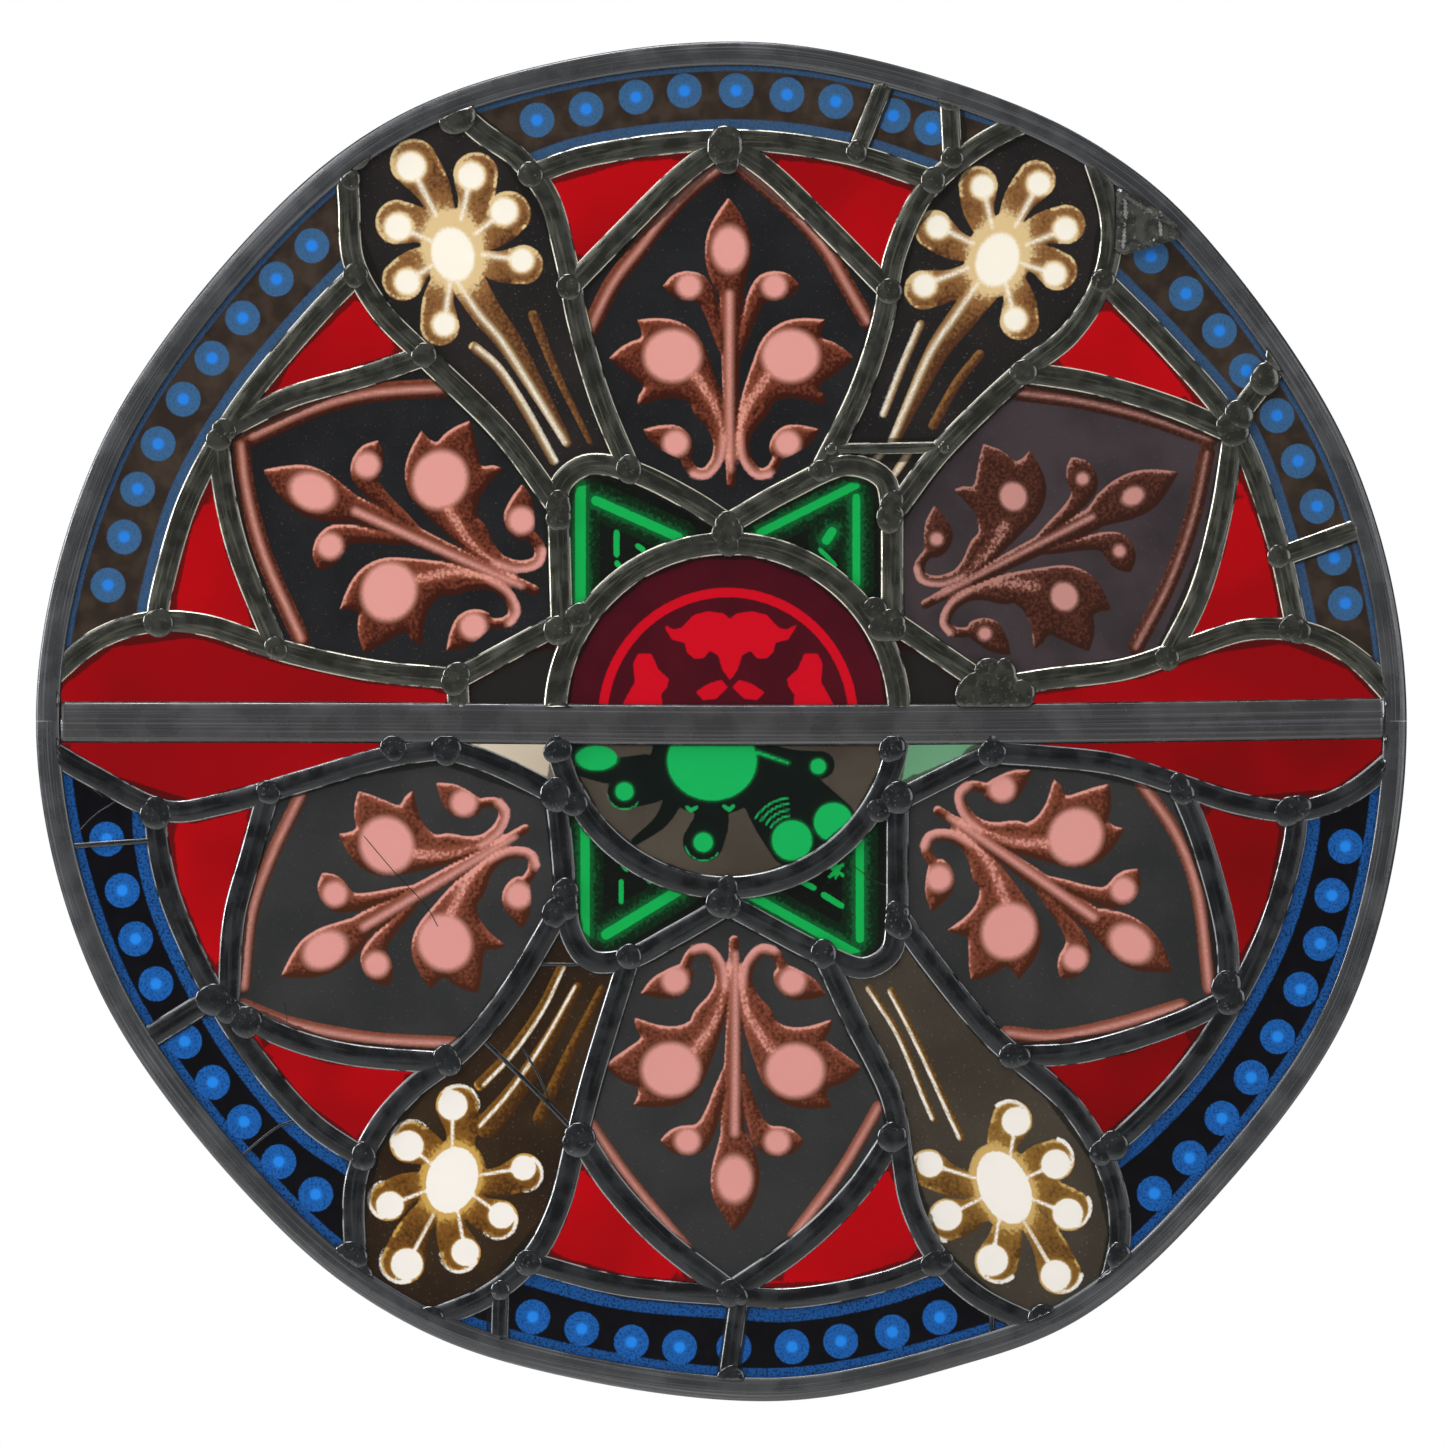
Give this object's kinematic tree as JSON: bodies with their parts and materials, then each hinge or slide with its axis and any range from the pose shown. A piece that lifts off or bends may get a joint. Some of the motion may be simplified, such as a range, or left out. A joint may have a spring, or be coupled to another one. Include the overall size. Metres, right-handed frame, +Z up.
{
  "type": "stained glass window",
  "caption": "Round leaded window panel of painted and coloured glass: a star and six petals in a dotted border, held in H-section leads, with a flat bar across the middle.",
  "frame": {"origin": "back of the rim at its lowest point, in line with the middle of the panel", "axes": "+Z up, +X to the right seen from the front, -Y towards the painted front, +Y out of the back that beds on the frame"},
  "size_m": [0.5008, 0.0077, 0.4963],
  "materials": {
    "rim_lead": "dull weathered lead",
    "bar_lead": "dull weathered lead",
    "upper_lead": "dull weathered lead",
    "lower_lead": "dull weathered lead",
    "patch_lead": "dull weathered lead",
    "border_brown_glass": "brown paint with blue dots, satin",
    "border_black_glass": "black paint with blue dots, satin",
    "red_glass": "clear red, glossy",
    "dark_red_glass": "clear dark red, glossy",
    "deep_red_glass": "clear deep red, glossy",
    "lobe_glass": "dark paint with cream and ochre flower, satin",
    "lobe_brown_glass": "brown paint with cream and ochre flower, satin",
    "lobe_grey_glass": "grey paint with cream flower, satin",
    "petal_glass": "near-black paint with pink and brown scrolls, satin",
    "petal_worn_glass": "worn purple-grey paint with pink scrolls, satin",
    "petal_grey_glass": "charcoal paint with pink and brown scrolls, satin",
    "green_glass": "dark green with bright green bars, satin",
    "hub_maroon_glass": "maroon with red leaves, satin",
    "hub_green_glass": "grey-brown with green knobs, satin",
    "tip_dark_glass": "dark plain glass, satin",
    "tip_cream_glass": "clear cream glass, glossy",
    "tip_green_glass": "clear pale green glass, glossy"
  },
  "bodies": {
    "root": {"rim_upper": "rim_lead", "rim_lower": "rim_lead", "cross_bar": "bar_lead", "lead_matrix_upper": "upper_lead", "lead_matrix_lower": "lower_lead", "lead_patch": "patch_lead", "border_glass_upper_left": "border_brown_glass", "border_glass_top": "border_brown_glass", "border_glass_top_short": "border_brown_glass", "border_glass_top_sliver": "border_brown_glass", "border_glass_upper_right": "border_brown_glass", "border_glass_right_middle": "border_brown_glass", "border_glass_right_short": "border_brown_glass", "border_glass_left": "border_black_glass", "border_glass_lower_left": "border_black_glass", "border_glass_bottom_sliver": "border_black_glass", "border_glass_bottom_left": "border_black_glass", "border_glass_bottom_right": "border_black_glass", "border_glass_lower_right": "border_black_glass", "red_glass_upper_left": "red_glass", "red_glass_left_above": "red_glass", "red_glass_top_left": "red_glass", "red_glass_top_right": "red_glass", "red_glass_upper_right": "red_glass", "red_glass_right_above": "red_glass", "red_glass_left_below": "red_glass", "red_glass_lower_left": "red_glass", "red_glass_bottom_left": "red_glass", "red_glass_bottom_right": "red_glass", "red_glass_lower_right": "dark_red_glass", "red_glass_right_below": "dark_red_glass", "teardrop_glass_upper_left": "deep_red_glass", "teardrop_glass_upper_right": "deep_red_glass", "teardrop_glass_lower_left": "deep_red_glass", "teardrop_glass_lower_right": "dark_red_glass", "lobe_glass_upper_left": "lobe_glass", "lobe_glass_upper_right": "lobe_glass", "lobe_glass_upper_right_foot": "lobe_glass", "lobe_glass_lower_left": "lobe_brown_glass", "lobe_glass_lower_right": "lobe_grey_glass", "petal_glass_top": "petal_glass", "petal_glass_upper_left": "petal_glass", "petal_glass_upper_right": "petal_worn_glass", "petal_glass_lower_left": "petal_grey_glass", "petal_glass_bottom": "petal_grey_glass", "petal_glass_lower_right": "petal_grey_glass", "star_glass_upper_left": "green_glass", "star_glass_upper_right": "green_glass", "star_glass_lower_left": "green_glass", "star_glass_lower_right": "green_glass", "hub_glass_upper": "hub_maroon_glass", "hub_glass_lower": "hub_green_glass", "star_glass_left_above": "tip_dark_glass", "star_glass_right_above": "tip_dark_glass", "star_glass_left_below": "tip_cream_glass", "star_glass_right_below": "tip_green_glass"}
  },
  "joints": []
}
